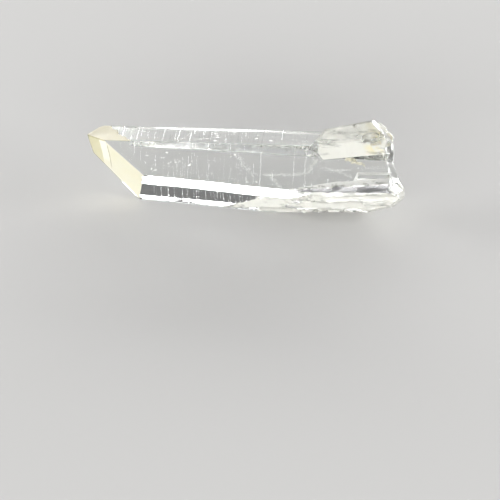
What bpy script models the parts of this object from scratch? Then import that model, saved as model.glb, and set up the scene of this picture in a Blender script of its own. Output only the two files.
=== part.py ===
"""A clear quartz crystal, lying on one of its long faces.

The long axis runs along X, with the pointed end at -X and the broken root at +X. Smaller crystals have grown
at the root end: one along the upper front edge, a short one on the front face and a bundle low on the front.
They all grew as one piece of quartz, so they are joined in one solid.
"""

import math
import random

import bmesh
import bpy
from mathutils import Matrix, Vector

MM = 0.001

# Driving dimensions. Lengths are in millimetres and angles in degrees.
# A face is (turn, lean, reach). Its normal points straight up, turns about the crystal's axis towards the
# front (-Y), then leans towards the point (-X). reach is the distance from the crystal's centre to the face.

MAIN_CENTRE = (0.0, -0.6, 4.6)
MAIN_FACES = (
    (0, 3.0, 4.3),  # the six long faces, from the top round by the front
    (60, 1.7, 4.35),
    (120, 2.3, 4.7),
    (180, 0.0, 4.6),
    (-120, 1.5, 4.5),
    (-60, 1.6, 4.1),
    (112.8, 31.3, 10.1),  # the large front face of the point
    (180, 38.2, 11.75),  # the face that rises from the bottom
    (-105, 66.6, 17.9),  # the steep left side of the point
    (-60, 38.2, 14.3),  # two small faces behind it
    (-120, 38.2, 12.4),
    (158, -5.1, 5.7),  # the lower front edge, broken away towards the root
    (0, -90.0, 24.0),  # past the root, which is broken off shorter
)

# Each smaller crystal: a point on its axis, how far the axis rises and swings to the back as it runs to the
# root, the roll, the radius and lean of its six long faces, and the faces of its point.
UPPER_CRYSTALS = (
    dict(
        centre=(12.0, -3.1, 10.05), rise=11.0, swing=3.0, roll=20, radius=1.95, lean=1.5,
        point=((10, 42.0, 2.3), (80, 60.0, 2.9), (150, 50.0, 2.9), (-80, 38.2, 2.6)),
    ),
    dict(
        centre=(14.0, -1.7, 11.1), rise=12.0, swing=4.0, roll=35, radius=0.95, lean=1.0,
        point=((40, 38.2, 1.9), (-30, 38.2, 1.9)),
    ),
)  # fmt: skip
FRONT_CRYSTAL = dict(
    centre=(17.0, -5.0, 6.6), rise=4.0, swing=1.0, roll=0, radius=0.55, lean=0.5,
    point=((30, 45.0, 1.7),),
)  # fmt: skip
LOW_CRYSTALS = (
    dict(
        centre=(14.0, -5.9, 4.9), rise=10.0, swing=-5.0, roll=-10, radius=1.1, lean=1.0,
        point=((130, 12.0, 1.5),),
    ),
    dict(
        centre=(14.0, -5.0, 3.4), rise=8.0, swing=-5.6, roll=25, radius=1.35, lean=1.5,
        point=((110, 12.0, 3.3),),
    ),
    dict(
        centre=(14.0, -6.3, 4.2), rise=7.0, swing=-3.0, roll=40, radius=0.65, lean=1.0,
        point=((120, 16.0, 1.4),),
    ),
    dict(
        centre=(12.0, -5.2, 2.4), rise=5.0, swing=-3.0, roll=10, radius=0.55, lean=0.5,
        point=((100, 35.0, 3.0),),
    ),
    dict(
        centre=(18.0, -6.4, 4.2), rise=6.0, swing=-1.0, roll=20, radius=0.75, lean=1.0,
        point=((60, 38.2, 1.8), (150, 38.2, 1.8)),
    ),
)  # fmt: skip
SMALL_CRYSTAL_LENGTH = 8.5

# The broken root. The profile is (height, reach along X) in the plane y = PROFILE_PLANE. In front of that
# plane the same outline sits higher, by FRONT_RISE of the way. The root falls short behind the plane, and on
# the front face above FRONT_FALL_HEIGHTS.
ROOT_PROFILE = (
    (-2.0, 15.0), (0.4, 16.2), (1.5, 19.3), (2.6, 20.6), (3.2, 20.9), (4.1, 20.7), (5.9, 20.0), (7.5, 19.4),
    (8.9, 19.3), (10.2, 19.5), (11.3, 18.5), (12.6, 16.6), (14.0, 14.0),
)  # fmt: skip
PROFILE_PLANE = -2.0
FRONT_RISE = 0.455
FALL_TO_THE_BACK = 0.35
FALL_TO_THE_FRONT = 0.3
FRONT_FALL_HEIGHTS = (5.0, 6.0)
# The shell-shaped hollows in the break are (y, z, radius, depth), and leave a sharp ridge where two meet.
ROOT_HOLLOWS = (
    (-3.6, 7.6, 2.3, 0.45), (-0.6, 7.0, 2.5, 0.7), (1.4, 4.6, 2.9, 0.8), (-1.9, 4.4, 2.0, 0.5),
    (-3.9, 10.4, 1.7, 0.4), (-1.8, 10.2, 1.9, 0.5), (2.4, 7.4, 1.9, 0.5), (0.4, 1.5, 2.4, 0.6),
    (-5.4, 5.2, 1.5, 0.4), (3.6, 2.4, 1.6, 0.4),
)  # fmt: skip
ROOT_CORNER = (-9.0, -2.0)
ROOT_ROWS = 38
ROOT_COLUMNS = 34
ROOT_STEP = 0.5
ROOT_ROUGHNESS = 0.04

# A pit near the root of the upper crystal, and chips (x, size) out of the main crystal's lower front edge.
PIT_CENTRE = (16.3, -4.6, 11.7)
PIT_HALF_SIZE = (1.3, 0.7, 0.6)
PIT_RISE = 12.0
LOWER_EDGE_ENDS = ((4.0, -3.6, 0.0), (16.2, -5.1, 1.8))
CHIP_TURNS = (15, 75)
CHIPS = ((7.7, 0.45), (9.6, 0.6), (11.0, 0.4), (13.1, 0.55), (14.9, 0.7), (15.9, 0.4))
SIZE_OF_BLOCK = 100.0


def normal_of(turn, lean):
    """The outward normal of a face, from its turn about the axis and its lean towards the point."""
    turn, lean = math.radians(turn), math.radians(lean)
    return Vector((-math.sin(lean), -math.sin(turn) * math.cos(lean), math.cos(turn) * math.cos(lean)))


def cut_to_faces(faces):
    """A block cut back to every face, because a crystal is what its faces leave."""
    bm = bmesh.new()
    bmesh.ops.create_cube(bm, size=SIZE_OF_BLOCK * MM)
    for turn, lean, reach in faces:
        normal = normal_of(turn, lean)
        everything = bm.verts[:] + bm.edges[:] + bm.faces[:]
        cut = bmesh.ops.bisect_plane(
            bm, geom=everything, plane_co=normal * reach * MM, plane_no=normal, clear_outer=True
        )
        rim = [part for part in cut["geom_cut"] if isinstance(part, bmesh.types.BMEdge)]
        if rim:
            bmesh.ops.edgeloop_fill(bm, edges=rim)
    bmesh.ops.recalc_face_normals(bm, faces=bm.faces[:])
    return bm


def placed(centre, rise=0.0, swing=0.0, roll=0.0):
    """Moves a crystal's centre to a point, with its axis risen and swung and the crystal rolled about it."""
    return (
        Matrix.Translation(Vector(centre) * MM)
        @ Matrix.Rotation(math.radians(swing), 4, "Z")
        @ Matrix.Rotation(math.radians(-rise), 4, "Y")
        @ Matrix.Rotation(math.radians(-roll), 4, "X")
    )


def as_object(name, bm):
    mesh = bpy.data.meshes.new(name)
    bm.to_mesh(mesh)
    bm.free()
    solid = bpy.data.objects.new(name, mesh)
    bpy.context.scene.collection.objects.link(solid)
    return solid


def small_crystal(name, centre, rise, swing, roll, radius, lean, point):
    """One of the side crystals: six equal long faces, its point's faces and a flat end inside the root."""
    long_faces = tuple((turn, lean, radius) for turn in range(0, 360, 60))
    end = ((0, -90.0, SMALL_CRYSTAL_LENGTH),)
    bm = cut_to_faces(long_faces + point + end)
    bm.transform(placed(centre, rise, swing, roll))
    return as_object(name, bm)


def combine(solid, other, operation):
    """Adds or takes away another solid, which stays as a hidden guide."""
    boolean = solid.modifiers.new(other.name, "BOOLEAN")
    boolean.operation = operation
    boolean.solver = "EXACT"
    boolean.object = other
    other.hide_render = True
    other.display_type = "WIRE"


def profile_at(height):
    """How far the root's outline reaches along X at a height."""
    for (z0, x0), (z1, x1) in zip(ROOT_PROFILE, ROOT_PROFILE[1:]):
        if height <= z1:
            break
    return x0 + (x1 - x0) * (height - z0) / (z1 - z0)


def root_reach(y, z):
    """How far the broken root reaches along X at a place on it."""
    in_front = max(0.0, PROFILE_PLANE - y)
    reach = profile_at(z - FRONT_RISE * in_front)
    low, high = FRONT_FALL_HEIGHTS
    reach -= FALL_TO_THE_FRONT * in_front * min(1.0, max(0.0, (z - low) / (high - low)))
    reach -= FALL_TO_THE_BACK * max(0.0, y - PROFILE_PLANE)
    deepest = 0.0
    for hollow_y, hollow_z, radius, depth in ROOT_HOLLOWS:
        away = math.hypot(y - hollow_y, z - hollow_z) / radius
        deepest = max(deepest, depth * (1.0 - away * away))
    return reach - deepest


def beyond_the_root():
    """Everything past the break, with the broken surface as its -X side."""
    rng = random.Random(7)
    corner_y, corner_z = ROOT_CORNER
    bm = bmesh.new()
    grid = []
    for row in range(ROOT_ROWS + 1):
        z = corner_z + row * ROOT_STEP
        line = []
        for column in range(ROOT_COLUMNS + 1):
            y = corner_y + column * ROOT_STEP
            x = root_reach(y, z) + rng.uniform(-ROOT_ROUGHNESS, ROOT_ROUGHNESS)
            line.append(bm.verts.new(Vector((x, y, z)) * MM))
        grid.append(line)
    for low, high in zip(grid, grid[1:]):
        for column in range(ROOT_COLUMNS):
            a, b, c, d = low[column], low[column + 1], high[column + 1], high[column]
            bm.faces.new((a, d, b))
            bm.faces.new((b, d, c))
    sheet = bmesh.ops.extrude_face_region(bm, geom=bm.faces[:])
    far = [part for part in sheet["geom"] if isinstance(part, bmesh.types.BMVert)]
    for vert in far:
        vert.co.x = SIZE_OF_BLOCK * MM
    bmesh.ops.recalc_face_normals(bm, faces=bm.faces[:])
    return as_object("beyond_the_root", bm)


def pit():
    """An oval hollow, turned along the upper crystal."""
    bm = bmesh.new()
    bmesh.ops.create_icosphere(bm, subdivisions=2, radius=MM)
    bm.transform(Matrix.Diagonal((*PIT_HALF_SIZE, 1.0)))
    bm.transform(placed(PIT_CENTRE, rise=PIT_RISE))
    return as_object("pit", bm)


def chips():
    """Small blocks turned every way, which leave flat-sided notches in an edge."""
    rng = random.Random(3)
    start, end = (Vector(point) for point in LOWER_EDGE_ENDS)
    for number, (x, size) in enumerate(CHIPS, start=1):
        place = start.lerp(end, (x - start.x) / (end.x - start.x))
        bm = bmesh.new()
        bmesh.ops.create_cube(bm, size=size * MM)
        turns = (rng.uniform(*CHIP_TURNS) for _ in range(3))
        bm.transform(placed(place, *turns))
        yield as_object(f"chip_{number}", bm)


def stand_at_the_origin(solid, frame):
    """Moves everything so that the finished solid's box has its bottom centre at the origin."""
    bpy.context.view_layer.update()
    finished = solid.evaluated_get(bpy.context.evaluated_depsgraph_get())
    corners = [Vector(corner) for corner in finished.bound_box]
    low = [min(corner[axis] for corner in corners) for axis in range(3)]
    high = [max(corner[axis] for corner in corners) for axis in range(3)]
    frame.location = (-(low[0] + high[0]) / 2, -(low[1] + high[1]) / 2, -low[2])


def quartz():
    """Clear, colourless quartz with glossy natural faces."""
    material = bpy.data.materials.new("clear_quartz")
    material.use_nodes = True
    shader = material.node_tree.nodes["Principled BSDF"]
    shader.inputs["Base Color"].default_value = (0.93, 0.94, 0.92, 1.0)
    shader.inputs["Roughness"].default_value = 0.05
    shader.inputs["Metallic"].default_value = 0.0
    shader.inputs["Transmission Weight"].default_value = 1.0
    shader.inputs["IOR"].default_value = 1.544
    return material


for old in list(bpy.data.objects):
    bpy.data.objects.remove(old, do_unlink=True)

main = cut_to_faces(MAIN_FACES)
main.transform(placed(MAIN_CENTRE))
crystal = as_object("quartz_crystal", main)
crystal.data.materials.append(quartz())
for number, shape in enumerate(UPPER_CRYSTALS, start=1):
    combine(crystal, small_crystal(f"upper_crystal_{number}", **shape), "UNION")
combine(crystal, small_crystal("front_crystal", **FRONT_CRYSTAL), "UNION")
for number, shape in enumerate(LOW_CRYSTALS, start=1):
    combine(crystal, small_crystal(f"low_crystal_{number}", **shape), "UNION")
combine(crystal, beyond_the_root(), "DIFFERENCE")
combine(crystal, pit(), "DIFFERENCE")
for chip in chips():
    combine(crystal, chip, "DIFFERENCE")

frame = bpy.data.objects.new("crystal_frame", None)
bpy.context.scene.collection.objects.link(frame)
for piece in list(bpy.data.objects):
    if piece is not frame:
        piece.parent = frame
stand_at_the_origin(crystal, frame)
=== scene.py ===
"""A clear quartz crystal, lying on one of its long faces on a pale floor.

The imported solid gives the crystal's shape and size. This script adds what its surface and its inside show:
growth lines, a shell-like break, frost, iron stain, veils and dust. Sizes are written in millimetres and
turned into metres by MM.
"""

import math
import random

import bmesh
import bpy
from mathutils import Matrix, Vector, noise
from mathutils.bvhtree import BVHTree


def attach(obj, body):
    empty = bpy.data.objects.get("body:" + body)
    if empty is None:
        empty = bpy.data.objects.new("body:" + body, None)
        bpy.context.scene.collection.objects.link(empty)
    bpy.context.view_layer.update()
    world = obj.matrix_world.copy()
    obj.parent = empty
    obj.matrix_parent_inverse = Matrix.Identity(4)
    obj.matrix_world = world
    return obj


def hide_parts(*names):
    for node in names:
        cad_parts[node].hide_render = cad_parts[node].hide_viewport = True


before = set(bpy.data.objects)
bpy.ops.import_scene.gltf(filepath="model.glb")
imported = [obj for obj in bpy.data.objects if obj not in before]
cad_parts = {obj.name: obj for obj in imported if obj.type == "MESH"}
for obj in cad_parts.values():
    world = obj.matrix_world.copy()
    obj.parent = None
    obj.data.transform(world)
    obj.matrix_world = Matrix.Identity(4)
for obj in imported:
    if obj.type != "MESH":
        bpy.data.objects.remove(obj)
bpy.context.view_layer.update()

# ---------------------------------------------------------------------------------------------------------
# The crystal is one piece of clear quartz: a six-sided prism with a slanted point, and smaller crystals that
# grew into its root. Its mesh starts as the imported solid's, with each flat natural face in one piece again.

MM = 0.001
MERGE_DISTANCE = 0.001 * MM
FLAT_ANGLE = math.radians(0.4)
CUT_TOLERANCE = 0.0005 * MM
LONG_FACE_AREA = 80.0 * MM**2
LONG_FACE_TILT = 0.1
TURN_MARGIN = 0.1
ALONG = Vector((1.0, 0.0, 0.0))

crystal_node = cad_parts["quartz_crystal"]
bm = bmesh.new()
bm.from_mesh(crystal_node.data)
bmesh.ops.remove_doubles(bm, verts=bm.verts[:], dist=MERGE_DISTANCE)
bmesh.ops.dissolve_limit(bm, angle_limit=FLAT_ANGLE, verts=bm.verts[:], edges=bm.edges[:])
bm.normal_update()
region = bm.faces.layers.int.new("region")

long_faces = [
    face for face in bm.faces if face.calc_area() > LONG_FACE_AREA and abs(face.normal.x) < LONG_FACE_TILT
]
long_faces.sort(key=lambda face: (math.atan2(face.normal.y, face.normal.z) + TURN_MARGIN) % math.tau)
TOP, UPPER_BACK, LOWER_BACK, BOTTOM, LOWER_FRONT, MAIN_FRONT = range(1, 7)
planes = {}
for number, face in enumerate(long_faces, start=1):
    face[region] = number
    planes[number] = (face.normal.copy(), face.normal.dot(face.verts[0].co))


def cut(faces, point, normal):
    """Cuts faces along a plane. The new faces belong to the same region as the old ones."""
    edges = {edge for face in faces for edge in face.edges}
    verts = {vert for face in faces for vert in face.verts}
    geometry = [*verts, *edges, *faces]
    made = bmesh.ops.bisect_plane(bm, geom=geometry, dist=CUT_TOLERANCE, plane_co=point, plane_no=normal)
    return [part for part in made["geom"] if isinstance(part, bmesh.types.BMFace)]


def faces_in(first, last):
    """The faces of a run of regions."""
    return [face for face in bm.faces if first <= face[region] <= last]


# Growth lines cross the long faces at right angles to the crystal. Each is a step a few hundredths of a
# millimetre high, or a fine groove, and they crowd together between the point and the middle. Beside some
# of the long edges a narrow strip of the face leans a few degrees further round.

POINT_TILT = -0.45
POINT_END = -11.0 * MM
GROWTH_TURN = math.radians(5.0)
GROWTH_ENDS = (-20.0, 19.0)
GROWTH_CROWD = (-16.0, 1.8)
GAP_IN_CROWD = 0.09
GAP_ELSEWHERE = 0.5
SMALLEST_GAP = 0.04
ROW_TOLERANCE = 0.001
LARGEST_GAP = 1.5
LINE_WIDTHS = (0.03, 0.1)
STEP_HEIGHTS = (0.004, 0.02)
GROOVE_STEEPNESS = (0.24, 0.36)
LEVEL_ENDS = (0.006, 0.07)
SHARE_GROOVES = 0.8
SHARE_ON_A_FACE = 0.85
SHARE_ON_TOP = 0.8
RELIEF_SCALES = {TOP: 0.5, UPPER_BACK: 0.2, LOWER_BACK: 0.4, BOTTOM: 0.1, LOWER_FRONT: 1.1, MAIN_FRONT: 1.3}
FADE_AT_POINT = 1.5
WINDOW_MIDDLES = (-3.0, 3.0)
WINDOW_HALVES = (1.5, 9.0)
WAVE_SCALES = (0.2, 0.5, 9.0)
WAVINESS = 0.5
SAME_DIRECTION = 0.9999
STEEPEST_LEAN = 0.9
FLATTEST_CORNER = 0.15
FARTHEST_CORNER = 1.5
MAIN_STEP = 1.95
MAIN_STEP_HEIGHT = 0.04
MAIN_STEP_WIDTH = 0.07
CELLS_ACROSS = 9
CELL_JITTER = 0.2
STRIP_ENDS = (-12.0, 5.0)
LEANING_STRIPS = {
    # (face, the face across its edge): (width at each of the strip's ends, how steeply it drops to the edge)
    (LOWER_FRONT, MAIN_FRONT): (1.6, 1.6, 0.06),
    (LOWER_FRONT, BOTTOM): (0.95, 1.05, -0.06),
    (MAIN_FRONT, TOP): (0.14, 0.14, 0.07),
    (UPPER_BACK, LOWER_BACK): (1.4, 1.4, 0.05),
}

rng = random.Random(11)
rows = []
lines = []
place = GROWTH_ENDS[0]
while place < GROWTH_ENDS[1]:
    crowded = GROWTH_CROWD[0] < place < GROWTH_CROWD[1]
    gap = SMALLEST_GAP + rng.expovariate(1.0 / (GAP_IN_CROWD if crowded else GAP_ELSEWHERE))
    gap = min(LARGEST_GAP, gap)
    main_step = place < MAIN_STEP <= place + gap
    place = MAIN_STEP if main_step else place + gap
    width = MAIN_STEP_WIDTH if main_step else rng.uniform(*LINE_WIDTHS)
    groove = not main_step and rng.random() < SHARE_GROOVES
    spots = (place, place + width / 2, place + width) if groove else (place, place + width)
    lines.append((groove, main_step, len(rows), width))
    rows.extend(spots)
    place += width

levels = {}
windows = {}
for number in planes:
    level = rng.uniform(*LEVEL_ENDS)
    heights = []
    for groove, main_step, first, width in lines:
        shown = main_step or rng.random() < (SHARE_ON_TOP if number == TOP else SHARE_ON_A_FACE)
        if groove:
            depth = width * rng.uniform(*GROOVE_STEEPNESS) if shown else 0.0
            windows[number, first + 1] = (rng.uniform(*WINDOW_MIDDLES), rng.uniform(*WINDOW_HALVES), depth)
            heights.extend((level, level, level))
            continue
        heights.append(level)
        if main_step:
            level = max(LEVEL_ENDS[0], level - MAIN_STEP_HEIGHT)
        elif shown:
            step = rng.choice((-1.0, 1.0)) * rng.uniform(*STEP_HEIGHTS)
            level = level + step if LEVEL_ENDS[0] < level + step < LEVEL_ENDS[1] else level - step
        heights.append(level)
    levels[number] = heights

growth_along = Matrix.Rotation(GROWTH_TURN, 3, "Z") @ ALONG
ahead = faces_in(TOP, MAIN_FRONT)
for row in rows:
    made = cut(ahead, growth_along * row * MM, growth_along)
    past_row = (row + ROW_TOLERANCE) * MM
    ahead = [face for face in made if max(v.co.dot(growth_along) for v in face.verts) > past_row]

strips = {number: [] for number in planes}
for number, (normal, offset) in planes.items():
    for (owner, neighbour), (first_width, last_width, drop) in LEANING_STRIPS.items():
        if owner == number:
            other_normal, other_offset = planes[neighbour]
            on_edge = Matrix((normal, other_normal, ALONG)).inverted() @ Vector((offset, other_offset, 0.0))
            edge = normal.cross(other_normal).normalized()
            if edge.x < 0.0:
                edge.negate()
            inward = normal.cross(edge)
            if inward.dot(other_normal) > 0.0:
                inward.negate()
            widening = (last_width - first_width) / (STRIP_ENDS[1] - STRIP_ENDS[0])
            width = first_width - widening * STRIP_ENDS[0]
            boundary = (edge + inward * widening).cross(normal)
            cut(faces_in(number, number), on_edge + inward * width * MM, boundary)
            strips[number].append((on_edge, edge, inward, width, widening, drop))
    sideways = normal.cross(ALONG).normalized()
    spread = [vert.co.dot(sideways) for face in faces_in(number, number) for vert in face.verts]
    low, high = min(spread), max(spread)
    for cell in range(1, CELLS_ACROSS):
        share = (cell + rng.uniform(-CELL_JITTER, CELL_JITTER)) / CELLS_ACROSS
        cut(faces_in(number, number), sideways * (low + (high - low) * share), sideways)

point_planes = [
    (face.normal.copy(), face.normal.dot(face.verts[0].co))
    for face in bm.faces
    if face[region] == 0 and face.normal.x < POINT_TILT and face.calc_center_median().x < POINT_END
]


def row_before(x):
    """The last row at or before a place along the crystal."""
    first, last = 0, len(rows) - 1
    while first < last:
        middle = (first + last + 1) // 2
        if rows[middle] <= x + ROW_TOLERANCE:
            first = middle
        else:
            last = middle - 1
    return first


def relief(number, point):
    """How far below a long face's highest level the surface lies, in millimetres."""
    x = point.dot(growth_along) / MM
    row = row_before(x)
    after = min(row + 1, len(rows) - 1)
    gap = rows[after] - rows[row]
    share = min(1.0, max(0.0, (x - rows[row]) / gap)) if gap > 0.0 else 0.0
    depth = levels[number][row] * (1.0 - share) + levels[number][after] * share
    across = point.dot(planes[number][0].cross(ALONG)) / MM
    wave = Vector(value * scale for value, scale in zip((x, across, number), WAVE_SCALES))
    depth *= 1.0 + WAVINESS * noise.noise(wave)
    if (number, row) in windows and abs(x - rows[row]) < 2 * ROW_TOLERANCE:
        middle, half, groove = windows[number, row]
        depth += groove * max(0.0, 1.0 - (abs(across - middle) / half) ** 4)
    from_point = min(offset - normal.dot(point) for normal, offset in point_planes) / MM
    depth *= RELIEF_SCALES[number] * min(1.0, max(0.0, from_point / FADE_AT_POINT))
    for on_edge, edge, inward, width, widening, drop in strips[number]:
        distance = max(0.0, (point - on_edge).dot(inward) / MM)
        here = width + widening * (point - on_edge).dot(edge) / MM
        depth += drop * max(0.0, here - distance) if drop > 0.0 else -drop * min(here, distance)
    return depth


for vert in bm.verts:
    found = sorted({face[region] for face in vert.link_faces} - {0})
    shifts = [(planes[number][0], relief(number, vert.co) * MM) for number in found]
    kept = []
    for face in vert.link_faces:
        if face[region] == 0 and all(face.normal.dot(other) < SAME_DIRECTION for other in kept):
            kept.append(face.normal.copy())
    shifts += [(normal, 0.0) for normal in kept]
    if len(shifts) == 1:
        vert.co -= shifts[0][0] * shifts[0][1]
    elif len(shifts) == 2:
        (first_normal, first_depth), (second_normal, second_depth) = shifts
        lean = first_normal.dot(second_normal)
        if abs(lean) < STEEPEST_LEAN:
            first = (first_depth - lean * second_depth) / (1.0 - lean * lean)
            second = (second_depth - lean * first_depth) / (1.0 - lean * lean)
            vert.co -= first_normal * first + second_normal * second
    elif len(shifts) == 3:
        corner = Matrix([normal for normal, _ in shifts])
        if abs(corner.determinant()) > FLATTEST_CORNER:
            shift = corner.inverted() @ Vector([depth for _, depth in shifts])
            if shift.length < FARTHEST_CORNER * max(depth for _, depth in shifts):
                vert.co -= shift
    vert.co.z = max(vert.co.z, 0.0)

# The root is broken off. Quartz breaks like glass, in shell-shaped hollows with faint ripples and a sharp
# ridge where two meet, so the solid's coarser hollows are given finer ones here.

BREAK = 7
BREAK_START = 12.0 * MM
BREAK_TILT = 0.35
BREAK_FACE_AREA = 0.6 * MM**2
BREAK_CUTS = 2
BREAK_SMOOTHINGS = 3
BREAK_SMOOTHING = 0.5
BREAK_SHARP = math.radians(28.0)
SHELLS = 60
SHELL_PLACES = ((-6.5, 6.0), (0.0, 13.2))
SHELL_RADII = (0.5, 1.5)
SHELL_DEPTHS = (0.03, 0.14)
RIPPLE_HEIGHT = 0.006
RIPPLE_LENGTH = 0.32

bm.normal_update()
for face in bm.faces:
    far = face.calc_center_median().x > BREAK_START
    if face[region] == 0 and far and face.normal.x > BREAK_TILT and face.calc_area() < BREAK_FACE_AREA:
        face[region] = BREAK
bmesh.ops.triangulate(bm, faces=faces_in(BREAK, BREAK))
broken_edges = {edge for face in faces_in(BREAK, BREAK) for edge in face.edges}
bmesh.ops.subdivide_edges(bm, edges=list(broken_edges), cuts=BREAK_CUTS, use_grid_fill=True)
inside_break = [
    vert for vert in bm.verts if vert.link_faces and all(face[region] == BREAK for face in vert.link_faces)
]
for _ in range(BREAK_SMOOTHINGS):
    bmesh.ops.smooth_vert(bm, verts=inside_break, factor=BREAK_SMOOTHING, use_axis_x=True)

rng = random.Random(5)
shells = [
    (
        rng.uniform(*SHELL_PLACES[0]),
        rng.uniform(*SHELL_PLACES[1]),
        rng.uniform(*SHELL_RADII),
        rng.uniform(*SHELL_DEPTHS),
    )
    for _ in range(SHELLS)
]
for vert in inside_break:
    y, z = vert.co.y / MM, vert.co.z / MM
    deepest = 0.0
    for shell_y, shell_z, radius, depth in shells:
        away = math.hypot(y - shell_y, z - shell_z)
        if away < radius:
            here = depth * (1.0 - (away / radius) ** 2)
            here += RIPPLE_HEIGHT * (1.0 + math.sin(math.tau * away / RIPPLE_LENGTH))
            deepest = max(deepest, here)
    vert.co.x -= deepest * MM
bm.normal_update()

# The smaller crystals grew side by side along the root. The low bundle is ragged, with fine ridges that run
# along it, and the upper crystals carry growth lines of their own.

LOW = 8
UPPER = 9
LOW_BOX = (Vector((-4.0, -7.0, -0.1)), Vector((20.6, -1.6, 6.75)))
UPPER_BOX = (Vector((6.5, -7.0, 8.9)), Vector((20.6, 6.0, 13.5)))
LOW_STEP_ALONG = 0.5
LOW_STEP_ACROSS = 0.24
LOW_ENDS = ((-3.5, 20.5), (-6.5, 0.0), (0.1, 7.0))
LOW_DEPTH = 0.1
RIDGE_SCALES = (0.22, 1.9)
FINE_RIDGE_SCALES = (0.5, 4.3)
FINE_RIDGE_SHARE = 0.5
FINE_RIDGE_SHIFT = 7.0
UPPER_STEP = 0.33
UPPER_STEP_ACROSS = 0.5
UPPER_ENDS = ((8.0, 22.0), (-6.0, 2.0), (6.0, 13.0))
UPPER_DEPTH = 0.035
UPPER_LINE_SCALES = (2.2, 0.25)
UPPER_RISE = math.radians(11.0)
ACROSS = Vector((0.0, 1.0, 0.0))
UPWARDS = Vector((0.0, 0.0, 1.0))


def in_box(point, box):
    """Whether a point lies in a box given by its low and high corners in millimetres."""
    return all(low * MM <= value <= high * MM for low, value, high in zip(box[0], point, box[1]))


def grid_cut(number, direction, ends, step):
    """Cuts a region into even strips between two distances along a direction."""
    distance = ends[0]
    while distance < ends[1]:
        cut(faces_in(number, number), direction * distance * MM, direction)
        distance += step


bm.normal_update()
for face in bm.faces:
    if face[region] == 0:
        centre = face.calc_center_median()
        if in_box(centre, LOW_BOX):
            face[region] = LOW
        elif in_box(centre, UPPER_BOX):
            face[region] = UPPER
grid_cut(LOW, ALONG, LOW_ENDS[0], LOW_STEP_ALONG)
grid_cut(LOW, ACROSS, LOW_ENDS[1], LOW_STEP_ACROSS)
grid_cut(LOW, UPWARDS, LOW_ENDS[2], LOW_STEP_ACROSS)
upper_along = Vector((math.cos(UPPER_RISE), 0.0, math.sin(UPPER_RISE)))
upper_across = Vector((-math.sin(UPPER_RISE), 0.0, math.cos(UPPER_RISE)))
grid_cut(UPPER, upper_along, UPPER_ENDS[0], UPPER_STEP)
grid_cut(UPPER, ACROSS, UPPER_ENDS[1], UPPER_STEP_ACROSS)
grid_cut(UPPER, upper_across, UPPER_ENDS[2], UPPER_STEP_ACROSS)
bm.normal_update()
moves = {}
for vert in bm.verts:
    found = {face[region] for face in vert.link_faces}
    p = vert.co / MM
    if found == {LOW}:
        along, across = RIDGE_SCALES
        ridges = abs(noise.noise(Vector((p.x * along, p.y * across, p.z * across))))
        along, across = FINE_RIDGE_SCALES
        finer = Vector((p.x * along, p.y * across, p.z * across + FINE_RIDGE_SHIFT))
        ridges += FINE_RIDGE_SHARE * abs(noise.noise(finer))
        moves[vert] = LOW_DEPTH * ridges
    elif found == {UPPER}:
        along, across = UPPER_LINE_SCALES
        spot = Vector((upper_along.dot(p) * along, p.y * across, upper_across.dot(p) * across))
        lines_up = noise.noise(spot)
        moves[vert] = UPPER_DEPTH * (0.5 + 0.5 * lines_up)
for vert, depth in moves.items():
    vert.co -= vert.normal * depth * MM
bm.normal_update()
for face in faces_in(BREAK, LOW):
    face.smooth = True
for edge in bm.edges:
    flat = [face for face in edge.link_faces if not face.smooth]
    edge.smooth = not flat and edge.is_manifold and edge.calc_face_angle() < BREAK_SHARP

# Each face carries how frosted it is and whether iron stains it, for the materials to read.

POINT = 10
FROST = {BREAK: 0.3, LOW: 0.45, UPPER: 0.15, POINT: 0.3}
STAIN_MARKS = {POINT: 1.0, TOP: 0.5}
TURNED_DOWN = -0.35
TURNED_BACK = 0.5


def turned_away(face):
    """Whether a face looks down or to the back, where the iron did not reach."""
    return face.normal.z < TURNED_DOWN or face.normal.y > TURNED_BACK


bm.normal_update()
frosted = bm.faces.layers.float.new("frosted")
stained = bm.faces.layers.float.new("stained")
for face in bm.faces:
    if face[region] == 0 and face.normal.x < POINT_TILT and face.calc_center_median().x < POINT_END:
        face[region] = POINT
    face[frosted] = FROST.get(face[region], 0.0)
    face[stained] = 0.0 if turned_away(face) else STAIN_MARKS.get(face[region], 0.0)

# Clear quartz is colourless inside and glossy on its natural faces. The point is stained by iron, and the
# smaller crystals and the break are frosted. Finer growth lines than the mesh holds run round the prism.

QUARTZ_IOR = 1.544
QUARTZ_CLEAR = (0.985, 0.99, 0.985, 1.0)
IRON_CREAM = (0.97, 0.92, 0.74, 1.0)
ABSORPTION_COLOUR = (0.62, 0.66, 0.62, 1.0)
ABSORPTION_DENSITY = 16.0
TOP_STAIN_END = (-14.9, -15.2)
ROOT_STAIN_ALONG = (13.5, 16.5)
ROOT_STAIN_UP = (9.3, 10.6)
ROOT_STAIN_PATCHES = (0.47, 0.6)
ROOT_STAIN_STRENGTH = 0.7
TOP_STAIN_FROST = 0.6
BUMP_HEIGHT = 0.0025 * MM
FINE_LINE_STRETCH = (7.0, 0.12, 0.12)
BROAD_LINE_STRETCH = (1.4, 0.1, 0.1)

quartz = bpy.data.materials.new("clear_quartz_grown")
quartz.use_nodes = True
tree = quartz.node_tree
tree.nodes.clear()


def node(tree, kind, inputs=(), **settings):
    """A node in the tree being built. inputs are (socket, value or output socket)."""
    made = tree.nodes.new(kind)
    for name, value in settings.items():
        setattr(made, name, value)
    for socket, value in inputs:
        if isinstance(value, bpy.types.NodeSocket):
            tree.links.new(value, made.inputs[socket])
        else:
            made.inputs[socket].default_value = value
    return made


def maths(tree, operation, *values, clamp=False):
    """The output of a Math node."""
    made = node(tree, "ShaderNodeMath", list(enumerate(values)), operation=operation, use_clamp=clamp)
    return made.outputs[0]


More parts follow.
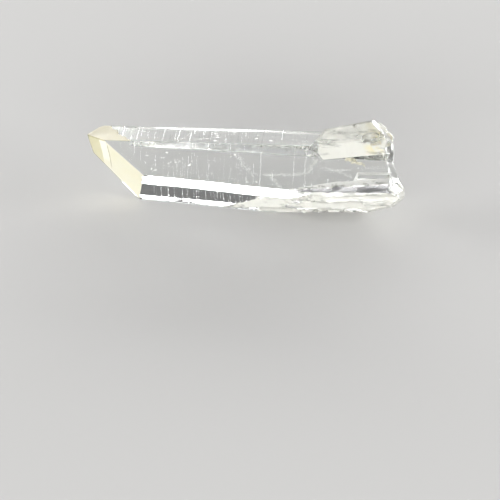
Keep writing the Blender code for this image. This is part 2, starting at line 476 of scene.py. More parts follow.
def ramp(tree, value, start, end):
    """0 below start and 1 above end, with a smooth change between. start may be the larger one."""
    values = [(0, value), (1, start), (2, end)]
    made = node(tree, "ShaderNodeMapRange", values, interpolation_type="SMOOTHSTEP")
    return made.outputs[0]


def grain(tree, coordinates, scale, detail=3.0, roughness=0.55, stretch=(1.0, 1.0, 1.0)):
    """Noise from 0 to 1, stretched by a Mapping node."""
    mapped = node(tree, "ShaderNodeMapping", [("Vector", coordinates), ("Scale", stretch)])
    values = [("Vector", mapped.outputs[0]), ("Scale", scale), ("Detail", detail), ("Roughness", roughness)]
    return node(tree, "ShaderNodeTexNoise", values).outputs["Fac"]


def group(name, given, results):
    """A node group with named inputs and outputs, and its two end nodes."""
    made = bpy.data.node_groups.new(name, "ShaderNodeTree")
    for socket, kind in given:
        made.interface.new_socket(socket, in_out="INPUT", socket_type=kind)
    for socket, kind in results:
        made.interface.new_socket(socket, in_out="OUTPUT", socket_type=kind)
    return made, node(made, "NodeGroupInput").outputs


def mixed(tree, mask, first, second):
    """One colour where the mask is 0 and another where it is 1."""
    return node(tree, "ShaderNodeMix", [(0, mask), (6, first), (7, second)], data_type="RGBA").outputs[2]


# The place on the crystal in millimetres, shared by the quartz and the two cloudy layers.
results = [
    ("Place", "NodeSocketVector"),
    ("X", "NodeSocketFloat"),
    ("Y", "NodeSocketFloat"),
    ("Z", "NodeSocketFloat"),
]
place_group, _ = group("place_in_millimetres", [], results)
metres = node(place_group, "ShaderNodeTexCoord").outputs["Object"]
enlarge = [(0, metres), ("Scale", 1.0 / MM)]
scaled = node(place_group, "ShaderNodeVectorMath", enlarge, operation="SCALE").outputs[0]
apart = node(place_group, "ShaderNodeSeparateXYZ", [(0, scaled)]).outputs
node(place_group, "NodeGroupOutput", [("Place", scaled), ("X", apart[0]), ("Y", apart[1]), ("Z", apart[2])])

# How far a place on the top face is from the stain's jagged end, shared by the quartz and the iron layer.
stain_group, given = group(
    "distance_along_stain", [("Place", "NodeSocketVector")], [("Distance", "NodeSocketFloat")]
)
apart = node(stain_group, "ShaderNodeSeparateXYZ", [(0, given["Place"])]).outputs
jagged = maths(stain_group, "MULTIPLY", grain(stain_group, given["Place"], 1.1), 1.8)
slanted = maths(stain_group, "MULTIPLY_ADD", apart[1], 0.75, apart[0])
node(stain_group, "NodeGroupOutput", [("Distance", maths(stain_group, "ADD", slanted, jagged))])

# A colour that drifts between two tones, shared by the cloudy layers, the veils, the clay and the dust.
sockets = [
    ("Place", "NodeSocketVector"),
    ("Scale", "NodeSocketFloat"),
    ("Dark", "NodeSocketColor"),
    ("Light", "NodeSocketColor"),
]
results = [("Colour", "NodeSocketColor"), ("Tone", "NodeSocketFloat")]
tone_group, given = group("drifting_tone", sockets, results)
drift = grain(tone_group, given["Place"], given["Scale"])
toned = mixed(tone_group, drift, given["Dark"], given["Light"])
node(tone_group, "NodeGroupOutput", [("Colour", toned), ("Tone", drift)])


def place_in_mm(tree):
    """The place in millimetres, and its x, y and z."""
    outputs = node(tree, "ShaderNodeGroup", node_tree=place_group).outputs
    return outputs["Place"], outputs["X"], outputs["Y"], outputs["Z"]


def distance_along_stain(tree, in_mm):
    """How far a place is past the line where the top's stain ends."""
    return node(tree, "ShaderNodeGroup", [("Place", in_mm)], node_tree=stain_group).outputs["Distance"]


def drifting_tone(tree, in_mm, scale, dark, light):
    """A colour drifting between two tones, and the drift itself."""
    values = [("Place", in_mm), ("Scale", scale), ("Dark", dark), ("Light", light)]
    outputs = node(tree, "ShaderNodeGroup", values, node_tree=tone_group).outputs
    return outputs["Colour"], outputs["Tone"]


in_mm, x, _, z = place_in_mm(tree)
frosted_face = node(tree, "ShaderNodeAttribute", attribute_name="frosted").outputs["Fac"]
stained_face = node(tree, "ShaderNodeAttribute", attribute_name="stained").outputs["Fac"]

# The stain covers the point's faces and runs a little way along the top, to a jagged end.
point_face = maths(tree, "GREATER_THAN", stained_face, 0.75)
top_face = maths(tree, "COMPARE", stained_face, 0.5, 0.1)
before_end = ramp(tree, distance_along_stain(tree, in_mm), *TOP_STAIN_END)
top_stain = maths(tree, "MULTIPLY", top_face, before_end)
cloudy = maths(tree, "MULTIPLY_ADD", grain(tree, in_mm, 0.55, detail=4.0), 0.9, 0.3)
point_stain = maths(tree, "MULTIPLY", point_face, cloudy, clamp=True)
root_stain = maths(tree, "MULTIPLY", ramp(tree, x, *ROOT_STAIN_ALONG), ramp(tree, z, *ROOT_STAIN_UP))
in_patches = ramp(tree, grain(tree, in_mm, 0.7), *ROOT_STAIN_PATCHES)
root_stain = maths(tree, "MULTIPLY", root_stain, in_patches)
front_stain = maths(tree, "MAXIMUM", point_stain, top_stain)
stain = maths(tree, "MAXIMUM", front_stain, maths(tree, "MULTIPLY", root_stain, ROOT_STAIN_STRENGTH))
colour = mixed(tree, stain, QUARTZ_CLEAR, IRON_CREAM)

patches = maths(tree, "MULTIPLY_ADD", grain(tree, in_mm, 0.8, detail=4.0), 1.1, 0.4)
patchy_frost = maths(tree, "MULTIPLY", frosted_face, patches)
frost_on_stain = maths(tree, "MULTIPLY", top_stain, TOP_STAIN_FROST)
frost = maths(tree, "MAXIMUM", patchy_frost, frost_on_stain, clamp=True)
roughness = maths(tree, "MULTIPLY_ADD", frost, 0.5, 0.015)

fine_lines = grain(tree, in_mm, 1.0, detail=4.0, roughness=0.7, stretch=FINE_LINE_STRETCH)
broad_lines = grain(tree, in_mm, 1.0, detail=2.0, stretch=BROAD_LINE_STRETCH)
growth = maths(tree, "MULTIPLY_ADD", broad_lines, 1.5, fine_lines)
growth = maths(tree, "MULTIPLY", growth, maths(tree, "SUBTRACT", 1.0, point_face))
pits = grain(tree, in_mm, 6.0, detail=5.0, roughness=0.65)
pitted = maths(tree, "MULTIPLY", pits, maths(tree, "MULTIPLY", frost, 5.0))
height = maths(tree, "ADD", growth, pitted)
bump = node(tree, "ShaderNodeBump", [("Height", height), ("Strength", 1.0), ("Distance", BUMP_HEIGHT)])

shader = node(
    tree,
    "ShaderNodeBsdfPrincipled",
    [
        ("Base Color", colour),
        ("Roughness", roughness),
        ("IOR", QUARTZ_IOR),
        ("Transmission Weight", 1.0),
        ("Normal", bump.outputs[0]),
    ],
)
tinted = [("Color", ABSORPTION_COLOUR), ("Density", ABSORPTION_DENSITY)]
absorption = node(tree, "ShaderNodeVolumeAbsorption", tinted)
ends = [("Surface", shader.outputs[0]), ("Volume", absorption.outputs[0])]
node(tree, "ShaderNodeOutputMaterial", ends)

mesh = bpy.data.meshes.new("quartz_crystal_grown")
bm.to_mesh(mesh)
grown = bm
crystal = bpy.data.objects.new("quartz_crystal_grown", mesh)
bpy.context.scene.collection.objects.link(crystal)
mesh.materials.append(quartz)
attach(crystal, "root")
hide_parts("quartz_crystal")

# ---------------------------------------------------------------------------------------------------------
# Veils are old cracks that healed while the crystal grew. Each is a curved sheet of tiny pockets that
# scatter light. They lie inside the clear prism, most of them near the root.

VEILS = (  # the path across the front face, how far the sheet runs inwards, how many pockets
    (((2.9, -3.7, 5.7), (4.8, -3.7, 5.85), (6.9, -3.6, 6.0), (8.5, -3.5, 6.4), (8.9, -3.1, 7.15),
      (9.4, -2.6, 7.9)),
     (-0.3, 0.9, -0.2), 800),
    (((9.5, -3.1, 7.2), (12.4, -3.5, 6.7), (13.8, -3.7, 6.3)), (0.1, 0.4, 0.05), 260),
    (((3.6, -3.8, 5.5), (5.0, -4.4, 4.5)), (0.1, 0.3, 0.1), 200),
    (((-1.2, -2.4, 7.7), (-0.6, -3.0, 6.7), (0.1, -3.2, 6.3), (1.4, -3.7, 5.5)), (0.4, 0.8, 0.1), 260),
)  # fmt: skip
POCKET_RADII = (0.025, 0.07)
POCKET_COVER = 0.06
POCKET_SPREAD = 0.07
POCKET_LENGTHS = (1.0, 2.2)
POCKET_FLATNESS = 0.4
GRAINS_AT_ONCE = 64
GRAIN_SIDES = 5
GRAIN_ROWS = 2
SPECKLE_SCALE = 2.5
RAY_START = Vector((0.1, 0.037, 0.029)) * MM

corners = [vert.co.copy() for vert in mesh.vertices]
grown_tree = BVHTree.FromPolygons(corners, [face.vertices[:] for face in mesh.polygons])


def is_inside(point, cover):
    """Whether a point lies in the crystal, at least a given depth below its surface."""
    if grown_tree.find_nearest(point)[3] < cover * MM:
        return False
    crossings = 0
    start = point
    while True:
        hit = grown_tree.ray_cast(start, RAY_START)[0]
        if hit is None:
            return crossings % 2 == 1
        crossings += 1
        start = hit + RAY_START.normalized() * CUT_TOLERANCE


def grain_matrix(centre, size, rng):
    """Puts a grain of a given size, in millimetres, at a point, turned any way."""
    turn = Matrix.Rotation(rng.uniform(0.0, math.tau), 4, "Z")
    turn = turn @ Matrix.Rotation(rng.uniform(0.0, math.pi), 4, "X")
    return Matrix.Translation(centre) @ turn @ Matrix.Diagonal((*(value * MM for value in size), 1.0))


def joined_grains(name, matrices, material):
    """A small closed grain for each matrix, joined in one mesh. They are made a few at a time, for speed."""
    made = bpy.data.meshes.new(name)
    joined = bmesh.new()
    for first in range(0, len(matrices), GRAINS_AT_ONCE):
        few = bmesh.new()
        for matrix in matrices[first : first + GRAINS_AT_ONCE]:
            bmesh.ops.create_uvsphere(
                few, u_segments=GRAIN_SIDES, v_segments=GRAIN_ROWS, radius=1.0, matrix=matrix
            )
        few.to_mesh(made)
        few.free()
        joined.from_mesh(made)
    joined.to_mesh(made)
    joined.free()
    made.materials.append(material)
    piece = bpy.data.objects.new(name, made)
    bpy.context.scene.collection.objects.link(piece)
    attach(piece, "root")


def along_path(points, share):
    """A point on a path of straight runs, by its share of the runs."""
    spot = share * (len(points) - 1)
    first = min(int(spot), len(points) - 2)
    return Vector(points[first]).lerp(Vector(points[first + 1]), spot - first)


def speckled(name, dark, light, roughness):
    """A matt material whose grains differ a little in tone."""
    material = bpy.data.materials.new(name)
    material.use_nodes = True
    tree = material.node_tree
    tree.nodes.clear()
    colour = drifting_tone(tree, place_in_mm(tree)[0], SPECKLE_SCALE, dark, light)[0]
    shader = node(tree, "ShaderNodeBsdfPrincipled", [("Base Color", colour), ("Roughness", roughness)])
    node(tree, "ShaderNodeOutputMaterial", [("Surface", shader.outputs[0])])
    return material


rng = random.Random(21)
pockets = []
for path, inward, count in VEILS:
    for _ in range(count):
        point = along_path(path, rng.random()) + Vector(inward) * rng.random() ** 2
        point += Vector(rng.gauss(0.0, POCKET_SPREAD) for _ in range(3))
        radius = rng.uniform(*POCKET_RADII)
        size = (radius * rng.uniform(*POCKET_LENGTHS), radius, radius * POCKET_FLATNESS)
        if is_inside(point * MM, POCKET_COVER):
            pockets.append(grain_matrix(point * MM, size, rng))
veil_white = speckled("veil_white", (0.75, 0.76, 0.74, 1.0), (0.97, 0.97, 0.95, 1.0), 0.5)
joined_grains("healed_crack_veils", pockets, veil_white)

# Milky clouds fill the small crystals at the root. They are the same tiny pockets, closer together, in
# loose feathers that leave clear gaps.

MILK_BOXES = (  # low corner, high corner, how many pockets
    ((8.0, -5.5, 9.3), (20.0, 0.8, 13.2), 2600),
    ((10.5, -6.3, 0.3), (20.3, -2.2, 5.6), 2200),
)
MILK_RADII = (0.02, 0.055)
MILK_COVER = 0.05
MILK_LENGTHS = (1.0, 1.8)
MILK_FLATNESS = 0.5
MILK_GAPS = 0.04
FEATHER_SCALES = (0.35, 1.1)

rng = random.Random(31)
pockets = []
for low_corner, high_corner, count in MILK_BOXES:
    for _ in range(count):
        point = Vector(rng.uniform(low, high) for low, high in zip(low_corner, high_corner))
        along, across = FEATHER_SCALES
        feather = noise.noise(Vector((point.x * along, point.y * across, point.z * across)))
        radius = rng.uniform(*MILK_RADII)
        size = (radius * rng.uniform(*MILK_LENGTHS), radius, radius * MILK_FLATNESS)
        if feather > MILK_GAPS and is_inside(point * MM, MILK_COVER):
            pockets.append(grain_matrix(point * MM, size, rng))
joined_grains("milky_clouds", pockets, veil_white)

# Thin cloudy layers lie just under some faces, where the last growth took in iron and fine bubbles. A cream
# one covers the front of the point, and a white one the small crystals at the root. The white one also
# carries a painted shade: it is dark where the gap between two low crystals is seen through.

FILM_COVER = 0.05
FILM_THICKNESS = 0.02
MOST_SHELL_FACTOR = 1.6
STAIN_END = -12.0
STAIN_LIMIT = -15.0
STAIN_BLUR = 0.12
CLEAR_END = -0.8
FILM_ROUGHNESS = 0.6
TOP_SLOPE = -0.05
TOP_LEVEL = (8.65, 8.75)
OLD_LINE_NORMAL = (-0.849, 0.522, 0.09)
OLD_LINE_OFFSET = 14.76
OLD_LINE_MIDDLE = 5.9
OLD_LINE_BOW = -0.03
OLD_LINE_WANDER = 0.12
OLD_LINE_HALF_WIDTH = (0.09, 0.02)
OLD_LINE_FOOT = (3.4, 4.2)
OLD_LINE_HEAD = (7.9, 7.5)
OLD_LINE_GAPS = (0.3, 0.5)
WHITE_NEAR = (0.05, 0.12)
WHITE_FAR = (1.35, 1.25)
WHITE_FOOT = (4.4, 5.2)
FAR_SIDE = (1.2, 1.35)
FAR_SIDE_THINNING = -0.25
PALE_CREAM = ((0.84, 0.84, 0.775, 1.0), (0.89, 0.89, 0.84, 1.0))
STRONG_CREAM = ((0.79, 0.775, 0.6, 1.0), (0.87, 0.86, 0.73, 1.0))
TOP_CREAM = ((0.62, 0.58, 0.38, 1.0), (0.7, 0.66, 0.46, 1.0))
CREAM_DRIFT = 0.7
BAND_WHITE = (1.0, 1.0, 0.98, 1.0)
LINE_BROWN = (0.4, 0.37, 0.28, 1.0)


def film(name, wanted, material):
    """A thin closed layer just under the crystal's faces that wanted picks out."""
    layer = grown.copy()
    layer.normal_update()
    number = layer.faces.layers.int["region"]
    inward = {vert: vert.normal * min(MOST_SHELL_FACTOR, vert.calc_shell_factor()) for vert in layer.verts}
    others = [face for face in layer.faces if not wanted(face, face[number])]
    bmesh.ops.delete(layer, geom=others, context="FACES")
    for vert in layer.verts:
        vert.co -= inward[vert] * FILM_COVER * MM
    bmesh.ops.triangulate(layer, faces=layer.faces[:])
    layer.normal_update()
    outer = layer.faces[:]
    walls = bmesh.ops.extrude_face_region(layer, geom=outer, use_keep_orig=True)
    inner = [part for part in walls["geom"] if isinstance(part, bmesh.types.BMVert)]
    for vert in inner:
        vert.co -= vert.normal * FILM_THICKNESS * MM
    for vert in layer.verts:
        vert.co.z = max(vert.co.z, FILM_COVER * MM)
    bmesh.ops.recalc_face_normals(layer, faces=layer.faces[:])
    made = bpy.data.meshes.new(name)
    layer.to_mesh(made)
    layer.free()
    made.materials.append(material)
    piece = bpy.data.objects.new(name, made)
    bpy.context.scene.collection.objects.link(piece)
    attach(piece, "root")


def on_front_of_point(face, number):
    """Whether a face is on the stained front of the point, or on the top beside it."""
    near = face.calc_center_median().x < STAIN_END * MM
    return near and (number == TOP or (number == POINT and not turned_away(face)))


def plane_distance(tree, in_mm, normal, offset):
    """How far a place is in front of a plane, in millimetres."""
    dot = node(tree, "ShaderNodeVectorMath", [(0, in_mm), (1, normal)], operation="DOT_PRODUCT")
    return maths(tree, "SUBTRACT", dot.outputs["Value"], offset)


iron_cream = bpy.data.materials.new("iron_cream")
iron_cream.use_nodes = True
tree = iron_cream.node_tree
tree.nodes.clear()
in_mm, x, _, z = place_in_mm(tree)
from_end = distance_along_stain(tree, in_mm)
before_end = ramp(tree, from_end, STAIN_LIMIT + STAIN_BLUR, STAIN_LIMIT - STAIN_BLUR)
top_height = maths(tree, "MULTIPLY_ADD", x, TOP_SLOPE, z)
pale, tone = drifting_tone(tree, in_mm, CREAM_DRIFT, *PALE_CREAM)
strong = drifting_tone(tree, in_mm, CREAM_DRIFT, *STRONG_CREAM)[0]
on_top = drifting_tone(tree, in_mm, CREAM_DRIFT, *TOP_CREAM)[0]

# An old growth line crosses the point. A white band lies beside it, and stronger cream beyond the band.
old_line = plane_distance(tree, in_mm, OLD_LINE_NORMAL, OLD_LINE_OFFSET)
from_middle = maths(tree, "SUBTRACT", z, OLD_LINE_MIDDLE)
bow = maths(tree, "MULTIPLY", from_middle, from_middle)
bowed = maths(tree, "MULTIPLY_ADD", bow, OLD_LINE_BOW, old_line)
wander = maths(tree, "MULTIPLY", grain(tree, in_mm, 1.6), OLD_LINE_WANDER)
old_line = maths(tree, "ADD", bowed, wander)
beside = maths(tree, "MULTIPLY", ramp(tree, old_line, *WHITE_NEAR), ramp(tree, old_line, *WHITE_FAR))
beside = maths(tree, "MULTIPLY", beside, ramp(tree, z, *WHITE_FOOT))
on_line = ramp(tree, maths(tree, "ABSOLUTE", old_line), *OLD_LINE_HALF_WIDTH)
its_length = maths(tree, "MULTIPLY", ramp(tree, z, *OLD_LINE_FOOT), ramp(tree, z, *OLD_LINE_HEAD))
on_line = maths(tree, "MULTIPLY", on_line, its_length)
on_line = maths(tree, "MULTIPLY", on_line, ramp(tree, grain(tree, in_mm, 2.0), *OLD_LINE_GAPS))
far_side = ramp(tree, old_line, *FAR_SIDE)
colour = mixed(tree, far_side, pale, strong)
colour = mixed(tree, beside, colour, BAND_WHITE)
colour = mixed(tree, on_line, colour, LINE_BROWN)
colour = mixed(tree, ramp(tree, top_height, *TOP_LEVEL), colour, on_top)
off_top = ramp(tree, top_height, *reversed(TOP_LEVEL))
alpha = maths(tree, "MAXIMUM", before_end, off_top)
thinning = maths(tree, "MULTIPLY", tone, FAR_SIDE_THINNING)
kept_alpha = maths(tree, "MULTIPLY_ADD", far_side, thinning, 1.0)
alpha = maths(tree, "MULTIPLY", alpha, kept_alpha, clamp=True)
cream = [("Base Color", colour), ("Roughness", FILM_ROUGHNESS), ("Alpha", alpha)]
shader = node(tree, "ShaderNodeBsdfPrincipled", cream)
node(tree, "ShaderNodeOutputMaterial", [("Surface", shader.outputs[0])])
film("iron_film", on_front_of_point, iron_cream)

# The white layer is streaky. A rusty patch and a row of short dark ticks are drawn in it, and a painted
# shade: a dark sheet in the clear gap between two low crystals. It leaves the hollow in the upper crystal
# clear.

PIT_CENTRE = Vector((16.3, -4.0, 11.7))
PIT_HALF_SIZE = (1.45, 1.5, 0.75)
FRONT_BOX = (Vector((14.3, -4.35, 6.4)), Vector((18.9, -3.0, 7.4)))
LEVEL = 0.9
MILKY_BREAK_TOP = 5.5
MILKY_PRISM_START = 0.0
MILKY_PRISM_TOP = 3.0
STREAK_STRETCH = (0.2, 0.8, 0.8)
STREAK_EDGES = (0.33, 0.5)
STREAK_STRENGTH = 0.72
THINNEST = 0.25
RUST_ALONG = (14.6, 16.4)
RUST_FOOT = (9.2, 9.8)
RUST_HEAD = (11.2, 10.5)
RUST_PATCHES = (0.42, 0.58)
EDGE_SLOPE = 0.191
EDGE_LEVEL = 3.35
EDGE_WANDER = (0.5, -0.25)
GAP_WIDENING = 0.07
GAP_WIDTH = -0.1
GAP_NEAR = (0.15, 0.25)
GAP_FAR = (0.1, 0.0)
GAP_FRONT = (-4.4, -4.7)
GAP_SHADE_STRENGTH = 0.9
LOW_TOP_EDGE = (0.15, 0.05)
LOW_TOP_HEAD = (8.0, 7.5)
PRISM_FROST = 0.1
PRISM_RAGGED = 4.0
PRISM_FADE = (4.4, 3.2)
HATCH_RUN = (0.981, 0.0, 0.191)
HATCH_LIE = (-0.191, 0.3, 0.93)
HATCH_LEVEL = 8.0
HATCH_WANDER = (0.8, -0.4)
HATCH_START = (13.7, 14.0)
HATCH_END = (17.1, 16.7)
HATCH_HALF_WIDTH = (0.4, 0.22)
TICK_SLANT = 16.0
TICK_RATE = 21.0
TICK_WANDER = 5.0
TICK_EDGES = (0.1, 0.8)
TICK_GAPS = (0.3, 0.6)
HATCH_STRENGTH = 0.75
MILK_TONES = ((0.78, 0.77, 0.71, 1.0), (0.88, 0.88, 0.84, 1.0))
MILK_DRIFT = 0.6
RUST_COLOUR = (0.85, 0.81, 0.63, 1.0)
LOW_TOP_WHITE = (1.0, 1.0, 0.97, 1.0)
# Painted shade: the dark grey put in the clear gap between two low crystals.
GAP_PAINTED_SHADE = (0.1, 0.1, 0.1, 1.0)
TICK_GREY = (0.25, 0.25, 0.24, 1.0)

milk_white_and_gap_shade = bpy.data.materials.new("milk_white_and_gap_shade")
milk_white_and_gap_shade.use_nodes = True
tree = milk_white_and_gap_shade.node_tree
tree.nodes.clear()
in_mm, x, y, z = place_in_mm(tree)
streaks = grain(tree, in_mm, 1.0, detail=5.0, roughness=0.6, stretch=STREAK_STRETCH)
colour = drifting_tone(tree, in_mm, MILK_DRIFT, *MILK_TONES)[0]
along = ramp(tree, x, *RUST_ALONG)
upwards = maths(tree, "MULTIPLY", ramp(tree, z, *RUST_FOOT), ramp(tree, z, *RUST_HEAD))
rust = maths(tree, "MULTIPLY", along, upwards)
rust = maths(tree, "MULTIPLY", rust, ramp(tree, grain(tree, in_mm, 0.9), *RUST_PATCHES))
colour = mixed(tree, rust, colour, RUST_COLOUR)
alpha = maths(tree, "MULTIPLY_ADD", ramp(tree, streaks, *STREAK_EDGES), STREAK_STRENGTH, THINNEST)
below_edge = maths(tree, "SUBTRACT", maths(tree, "MULTIPLY_ADD", x, EDGE_SLOPE, EDGE_LEVEL), z)
wander = maths(tree, "MULTIPLY_ADD", grain(tree, in_mm, 1.2), *EDGE_WANDER)
below_edge = maths(tree, "ADD", below_edge, wander)
# Where the painted shade goes: a band on the front, just below the low crystals' top edge, widening towards
# the root.
gap_end = maths(tree, "MULTIPLY_ADD", x, GAP_WIDENING, GAP_WIDTH)
past_gap = maths(tree, "SUBTRACT", below_edge, gap_end)
gap_painted_shade = maths(tree, "MULTIPLY", ramp(tree, below_edge, *GAP_NEAR), ramp(tree, past_gap, *GAP_FAR))
gap_painted_shade = maths(tree, "MULTIPLY", gap_painted_shade, ramp(tree, y, *GAP_FRONT))
low_top = maths(tree, "MULTIPLY", ramp(tree, below_edge, *LOW_TOP_EDGE), ramp(tree, z, *LOW_TOP_HEAD))
colour = mixed(tree, low_top, colour, LOW_TOP_WHITE)
alpha = maths(tree, "MAXIMUM", alpha, low_top)

# On the prism's own face the white fades in towards the root, in ragged patches.
frosted_face = node(tree, "ShaderNodeAttribute", attribute_name="frosted").outputs["Fac"]
on_prism = maths(tree, "LESS_THAN", frosted_face, PRISM_FROST)
ragged = maths(tree, "MULTIPLY_ADD", grain(tree, in_mm, 1.6, detail=4.0), PRISM_RAGGED, x)
faded = maths(tree, "MULTIPLY", on_prism, ramp(tree, ragged, *PRISM_FADE))
alpha = maths(tree, "MULTIPLY", alpha, maths(tree, "SUBTRACT", 1.0, faded))
# The painted shade: dark grey and nearly opaque in the gap.
colour = mixed(tree, gap_painted_shade, colour, GAP_PAINTED_SHADE)
alpha = maths(tree, "MAXIMUM", alpha, maths(tree, "MULTIPLY", gap_painted_shade, GAP_SHADE_STRENGTH))

# The ticks lie in one slanting row on the upper crystal.
run = plane_distance(tree, in_mm, HATCH_RUN, 0.0)
lie = plane_distance(tree, in_mm, HATCH_LIE, HATCH_LEVEL)
hatch_edge = maths(tree, "MULTIPLY_ADD", grain(tree, in_mm, 1.0), *HATCH_WANDER)
hatch = maths(tree, "MULTIPLY", ramp(tree, run, *HATCH_START), ramp(tree, run, *HATCH_END))
hatch_row = maths(tree, "ABSOLUTE", maths(tree, "ADD", lie, hatch_edge))
hatch = maths(tree, "MULTIPLY", hatch, ramp(tree, hatch_row, *HATCH_HALF_WIDTH))
ticks = maths(tree, "MULTIPLY_ADD", lie, TICK_SLANT, maths(tree, "MULTIPLY", run, TICK_RATE))
ticks = maths(tree, "SINE", maths(tree, "MULTIPLY_ADD", grain(tree, in_mm, 1.7), TICK_WANDER, ticks))
hatch = maths(tree, "MULTIPLY", hatch, ramp(tree, ticks, *TICK_EDGES))
hatch = maths(tree, "MULTIPLY", hatch, ramp(tree, grain(tree, in_mm, 2.3), *TICK_GAPS))
colour = mixed(tree, maths(tree, "MULTIPLY", hatch, HATCH_STRENGTH), colour, TICK_GREY)
milky = [("Base Color", colour), ("Roughness", FILM_ROUGHNESS), ("Alpha", alpha)]
shader = node(tree, "ShaderNodeBsdfPrincipled", milky)
node(tree, "ShaderNodeOutputMaterial", [("Surface", shader.outputs[0])])


def on_small_crystals(face, number):
    """Whether a face of the root is milky: a small crystal, the low break or the prism beside it."""
    centre = face.calc_center_median()
    from_pit = Vector(away / half for away, half in zip(centre / MM - PIT_CENTRE, PIT_HALF_SIZE)).length
    level_top = face.normal.z > LEVEL and in_box(centre, FRONT_BOX)
    low_break = number == BREAK and centre.z < MILKY_BREAK_TOP * MM
    low_on_prism = centre.x > MILKY_PRISM_START * MM and centre.z < MILKY_PRISM_TOP * MM
    on_prism = number == LOWER_FRONT and low_on_prism
    grown_on = number in (UPPER, LOW) and face.normal.x > CLEAR_END and from_pit > 1.0
    return level_top or low_break or on_prism or grown_on


film("milk_film_and_gap_shade", on_small_crystals, milk_white_and_gap_shade)
grown.free()

# One old crack near the root holds a flake of iron-stained clay, seen through the main face.

FLAKE_PATH = ((13.1, -2.5, 8.1), (14.3, -2.7, 7.8), (15.4, -2.9, 7.5))
FLAKE_GRAINS = 150
FLAKE_RADII = (0.1, 0.24)
FLAKE_SPREAD = 0.13
FLAKE_DEPTH = Vector((0.0, 0.5, 0.0))
FLAKE_NARROWING = (1.4, 1.2, 0.7)
FLAKE_SHAPE = (0.6, 0.15)

rng = random.Random(41)
pockets = []
for _ in range(FLAKE_GRAINS):
    share = rng.random()
    point = along_path(FLAKE_PATH, share) + FLAKE_DEPTH
    spread_end, radius_start, radius_loss = FLAKE_NARROWING
    point += Vector(rng.gauss(0.0, FLAKE_SPREAD * (spread_end - share)) for _ in range(3))
    radius = rng.uniform(*FLAKE_RADII) * (radius_start - radius_loss * share)
    if is_inside(point * MM, POCKET_COVER):
        size = (radius, radius * FLAKE_SHAPE[0], radius * FLAKE_SHAPE[1])
        pockets.append(grain_matrix(point * MM, size, rng))
clay = speckled("pale_clay", (0.8, 0.76, 0.6, 1.0), (1.0, 0.98, 0.88, 1.0), 0.7)
joined_grains("clay_flake", pockets, clay)

# Dust and splinters lie on the top face and the main front face, most of them between the point and the
# middle. Each grain sinks a little into the surface, so that it rests on it.

DUST_FACES = (  # face, how many grains, where along the crystal, where across the face from its middle
    (TOP, 80, (-14.5, 5.5), 2.4),
    (MAIN_FRONT, 56, (-14.5, 3.5), 2.2),
    (TOP, 26, (5.5, 8.5), 2.0),
)
DUST_RADII = (0.03, 0.11)
DUST_LENGTHS = (1.0, 2.6)
DUST_FLATNESS = 0.45
ON_PLANE = 0.01
CLEAR_OF_ROOT = 5.0
SPLINTER_LENGTHS = (0.3, 0.6)
SPLINTER_SECTION = (0.08, 0.06)
SPLINTERS = ((7.3, -1.8, 9.05), (7.9, -1.9, 9.0), (8.2, -1.7, 9.15), (7.6, -1.2, 9.2))

rng = random.Random(51)
grains = []
for number, count, (first, last), half in DUST_FACES:
    normal, offset = planes[number]
    sideways = normal.cross(ALONG).normalized()
    on_face = [
        vert.co.dot(sideways)
        for vert in crystal_node.data.vertices
        if abs(vert.co.dot(normal) - offset) < ON_PLANE * MM and vert.co.x < CLEAR_OF_ROOT * MM
    ]
    middle = (min(on_face) + max(on_face)) / 2
    for _ in range(count):
        x = rng.triangular(first, last, (first + last) / 2) * MM
        point = ALONG * x + sideways * (middle + rng.uniform(-half, half) * MM)
        point += normal * (offset - point.dot(normal))
        point -= normal * relief(number, point) * MM
        radius = rng.uniform(*DUST_RADII)
        size = (radius * rng.uniform(*DUST_LENGTHS), radius, radius * DUST_FLATNESS)
        grains.append(grain_matrix(point, size, rng))
for place in SPLINTERS:
    size = (rng.uniform(*SPLINTER_LENGTHS), *SPLINTER_SECTION)
    grains.append(grain_matrix(Vector(place) * MM, size, rng))
dust_white = speckled("dust_white", (0.8, 0.79, 0.76, 1.0), (1.0, 1.0, 0.98, 1.0), 0.8)
joined_grains("surface_dust", grains, dust_white)

# ---------------------------------------------------------------------------------------------------------
# The floor is plain, pale and matt, just under the face that the crystal lies on.

FLOOR_HALF_SIDE = 1.5
FLOOR_DROP = 0.03 * MM
FLOOR_COLOUR = (0.6, 0.595, 0.585, 1.0)

bm = bmesh.new()
bmesh.ops.create_grid(bm, x_segments=1, y_segments=1, size=FLOOR_HALF_SIDE)
bmesh.ops.translate(bm, vec=(0.0, 0.0, -FLOOR_DROP), verts=bm.verts[:])
made = bpy.data.meshes.new("floor")
bm.to_mesh(made)
bm.free()
floor = bpy.data.objects.new("floor", made)
bpy.context.scene.collection.objects.link(floor)
pale = bpy.data.materials.new("pale_floor")
pale.use_nodes = True
tree = pale.node_tree
tree.nodes.clear()
shader = node(tree, "ShaderNodeBsdfPrincipled", [("Base Color", FLOOR_COLOUR), ("Roughness", 0.9)])
node(tree, "ShaderNodeOutputMaterial", [("Surface", shader.outputs[0])])
made.materials.append(pale)

# ---------------------------------------------------------------------------------------------------------
# The light comes from four low white panels, one on each side of the crystal, in a dim pale room. The back
# one shines through its lower faces. Two dim cards higher up, at the back and the front, brighten the top
# face and the narrow band below it.


def panel(name, place, target, size, power):
    """A rectangular light that faces its target."""
    light = bpy.data.lights.new(name, "AREA")
    light.shape = "RECTANGLE"
    light.size, light.size_y = size
    light.energy = power
    lamp = bpy.data.objects.new(name, light)
    bpy.context.scene.collection.objects.link(lamp)
    lamp.location = place
    lamp.rotation_euler = (Vector(target) - Vector(place)).to_track_quat("-Z", "Y").to_euler()


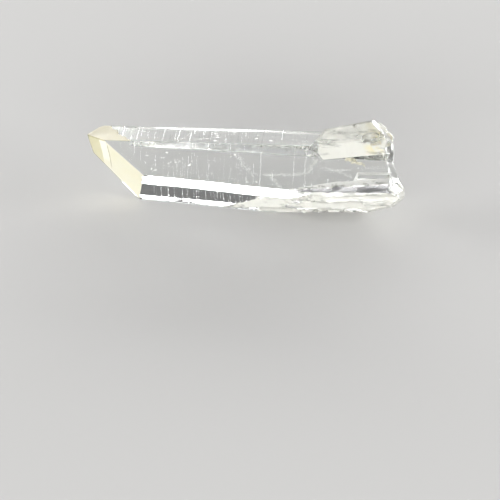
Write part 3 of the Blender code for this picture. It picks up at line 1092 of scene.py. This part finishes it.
PANEL_HEIGHT = 0.2
PANEL_MIDDLE = 0.14
CARD_HEIGHT = 0.17
ON_CRYSTAL = (0.0, 0.0, 0.01)
panel("left_panel", (-0.7, 0.0, PANEL_MIDDLE), ON_CRYSTAL, (0.9, PANEL_HEIGHT), 6.5)
panel("right_panel", (0.7, 0.0, PANEL_MIDDLE), ON_CRYSTAL, (0.9, PANEL_HEIGHT), 6.5)
panel("back_panel", (0.0, 0.9, PANEL_MIDDLE), ON_CRYSTAL, (1.4, PANEL_HEIGHT), 13.0)
panel("front_panel", (0.0, -0.9, PANEL_MIDDLE), ON_CRYSTAL, (1.2, PANEL_HEIGHT), 16.0)
panel("back_card", (0.0, 0.9, 0.42), ON_CRYSTAL, (1.4, CARD_HEIGHT), 0.7)
panel("front_card", (0.0, -0.9, 0.91), ON_CRYSTAL, (1.8, CARD_HEIGHT), 0.42)

MOST_BOUNCES = 40
ROOM_COLOUR = (0.9, 0.9, 0.9, 1.0)
ROOM_STRENGTH = 0.2

world = bpy.data.worlds.new("pale_room")
world.use_nodes = True
background = world.node_tree.nodes["Background"]
background.inputs["Color"].default_value = ROOM_COLOUR
background.inputs["Strength"].default_value = ROOM_STRENGTH
bpy.context.scene.world = world
bpy.context.scene.view_settings.view_transform = "Standard"
bpy.context.scene.cycles.max_bounces = MOST_BOUNCES
bpy.context.scene.cycles.transmission_bounces = MOST_BOUNCES
bpy.context.scene.cycles.glossy_bounces = MOST_BOUNCES

# ---------------------------------------------------------------------------------------------------------
# The camera looks down on the crystal from its front, a little to the right of square.

CAMERA_TURN = math.radians(9.0)
CAMERA_RISE = math.radians(25.0)
CAMERA_ROLL = math.radians(0.85)
CAMERA_DISTANCE = 416.0 * MM
CAMERA_AIM = Vector((-0.295, 1.414, 4.0)) * MM
AIM_IN_FRAME = (246.0, 170.0)
FRAME_SIDE = 500.0
FOCAL_PIXELS = 3278.0
SENSOR = 36.0
CLIP_START = 0.01
CLIP_END = 10.0

back = Vector((
    math.sin(CAMERA_TURN) * math.cos(CAMERA_RISE),
    -math.cos(CAMERA_TURN) * math.cos(CAMERA_RISE),
    math.sin(CAMERA_RISE),
))  # fmt: skip
right = Vector((math.cos(CAMERA_TURN), math.sin(CAMERA_TURN), 0.0))
up = back.cross(right)
off_x, off_y = (place - FRAME_SIDE / 2 for place in AIM_IN_FRAME)
level_x = off_x * math.cos(CAMERA_ROLL) + off_y * math.sin(CAMERA_ROLL)
level_y = -off_x * math.sin(CAMERA_ROLL) + off_y * math.cos(CAMERA_ROLL)
aside = right * (level_x * CAMERA_DISTANCE / FOCAL_PIXELS)
above = up * (level_y * CAMERA_DISTANCE / FOCAL_PIXELS)
rolled_right = right * math.cos(CAMERA_ROLL) + up * math.sin(CAMERA_ROLL)
rolled_up = up * math.cos(CAMERA_ROLL) - right * math.sin(CAMERA_ROLL)

lens = bpy.data.cameras.new("camera")
lens.sensor_width = SENSOR
lens.lens = SENSOR * FOCAL_PIXELS / FRAME_SIDE
lens.clip_start = CLIP_START
lens.clip_end = CLIP_END
camera = bpy.data.objects.new("camera", lens)
bpy.context.scene.collection.objects.link(camera)
stand = CAMERA_AIM + back * CAMERA_DISTANCE - aside + above
turn = Matrix((rolled_right, rolled_up, back)).transposed().to_4x4()
camera.matrix_world = Matrix.Translation(stand) @ turn
bpy.context.scene.camera = camera

bpy.context.view_layer.update()
